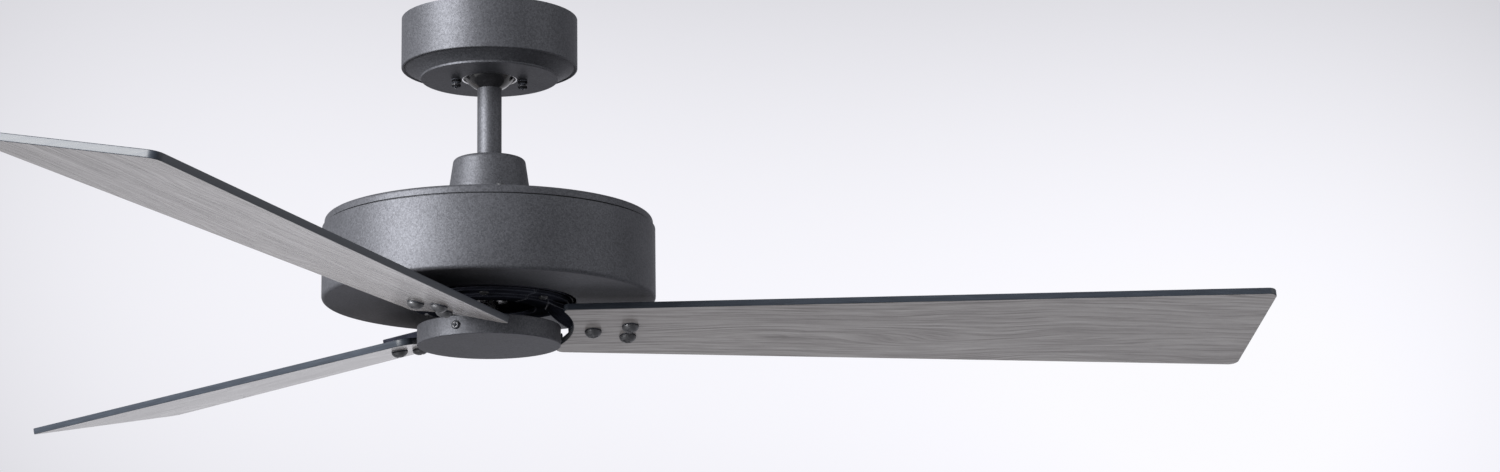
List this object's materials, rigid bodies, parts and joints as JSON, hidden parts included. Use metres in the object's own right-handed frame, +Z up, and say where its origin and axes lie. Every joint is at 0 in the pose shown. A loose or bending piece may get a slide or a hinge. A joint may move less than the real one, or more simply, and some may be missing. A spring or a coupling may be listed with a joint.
{
  "type": "ceiling fan",
  "caption": "Ceiling fan: drum motor housing on a short downrod with a swivel ball and round canopy, wide flat blades that widen to the tip, on irons under the drum, and a shallow bottom cup.",
  "frame": {"origin": "on the ceiling plane, on the fan's vertical axis", "axes": "+Z up along the downrod and the motor shaft, +X along the first blade"},
  "size_m": [1.1038, 1.2631, 0.2917],
  "materials": {
    "graphite_coat": "fine-textured satin powder coat",
    "black_coat": "satin black paint",
    "black_motor_casting": "black paint on die-cast aluminium",
    "gloss_black": "glossy black",
    "plain_steel": "zinc-plated",
    "bright_steel": "ground bright",
    "dark_screw": "dark zinc",
    "weathered_wood": "weathered grey grain, satin",
    "copper_wire": "enamelled winding wire",
    "board_green": "matt",
    "lead_grey": "matt",
    "plug_white": "matt",
    "magnet_grey": "matt"
  },
  "bodies": {
    "ceiling_part": {"hanger_bracket": "plain_steel", "canopy": "graphite_coat", "canopy_screw_1": "dark_screw", "canopy_screw_2": "dark_screw"},
    "swivel": {"hanger_ball_pin": "bright_steel"},
    "hanging_part": {"hanger_ball": "gloss_black", "ball_set_screw": "plain_steel", "downrod": "graphite_coat", "motor_coupling": "plain_steel", "clevis_pin": "bright_steel", "clevis_clip": "bright_steel", "coupling_set_screw": "plain_steel", "motor_shaft": "bright_steel", "stator_core": "plain_steel", "winding_upper": "copper_wire", "winding_lower": "copper_wire", "driver_board": "board_green", "upper_bearing": "bright_steel", "lower_bearing": "bright_steel", "housing_lid": "graphite_coat", "housing_shell": "graphite_coat", "lid_screw_1": "plain_steel", "lid_screw_2": "plain_steel", "lid_screw_3": "plain_steel", "housing_screw_1": "dark_screw", "housing_screw_2": "dark_screw", "housing_screw_3": "dark_screw", "motor_lead": "lead_grey", "lead_plug": "plug_white", "cup_plate": "black_coat", "shaft_nut": "plain_steel", "bottom_cup": "graphite_coat", "cup_screw_1": "dark_screw", "cup_screw_2": "dark_screw", "cup_screw_3": "dark_screw"},
    "coupling_bell": {"coupling_cover": "graphite_coat"},
    "rotor": {"rotor_cover": "black_motor_casting", "rotor_base": "black_motor_casting", "magnet_ring": "magnet_grey", "blade_iron_1": "black_coat", "iron_screw_1_1": "dark_screw", "iron_screw_1_2": "dark_screw", "blade_1": "weathered_wood", "blade_screw_1_1": "dark_screw", "blade_screw_1_2": "dark_screw", "blade_screw_1_3": "dark_screw", "blade_iron_2": "black_coat", "iron_screw_2_1": "dark_screw", "iron_screw_2_2": "dark_screw", "blade_2": "weathered_wood", "blade_screw_2_1": "dark_screw", "blade_screw_2_2": "dark_screw", "blade_screw_2_3": "dark_screw", "blade_iron_3": "black_coat", "iron_screw_3_1": "dark_screw", "iron_screw_3_2": "dark_screw", "blade_3": "weathered_wood", "blade_screw_3_1": "dark_screw", "blade_screw_3_2": "dark_screw", "blade_screw_3_3": "dark_screw"}
  },
  "joints": [
    {"name": "swing_about_y", "type": "hinge", "parent": "ceiling_part", "child": "swivel", "pos_m": [0, 0, -0.0396], "axis": [0, 1, 0], "range_deg": [-15, 15]},
    {"name": "swing_about_x", "type": "hinge", "parent": "swivel", "child": "hanging_part", "pos_m": [0, 0, -0.0396], "axis": [1, 0, 0], "range_deg": [-15, 15]},
    {"name": "cover_lift", "type": "slide", "parent": "hanging_part", "child": "coupling_bell", "axis": [0, 0, 1], "range_m": [0, 0.04]},
    {"name": "blade_spin", "type": "hinge", "parent": "hanging_part", "child": "rotor", "pos_m": [0, 0, -0.2773], "axis": [0, 0, 1], "continuous": true}
  ]
}
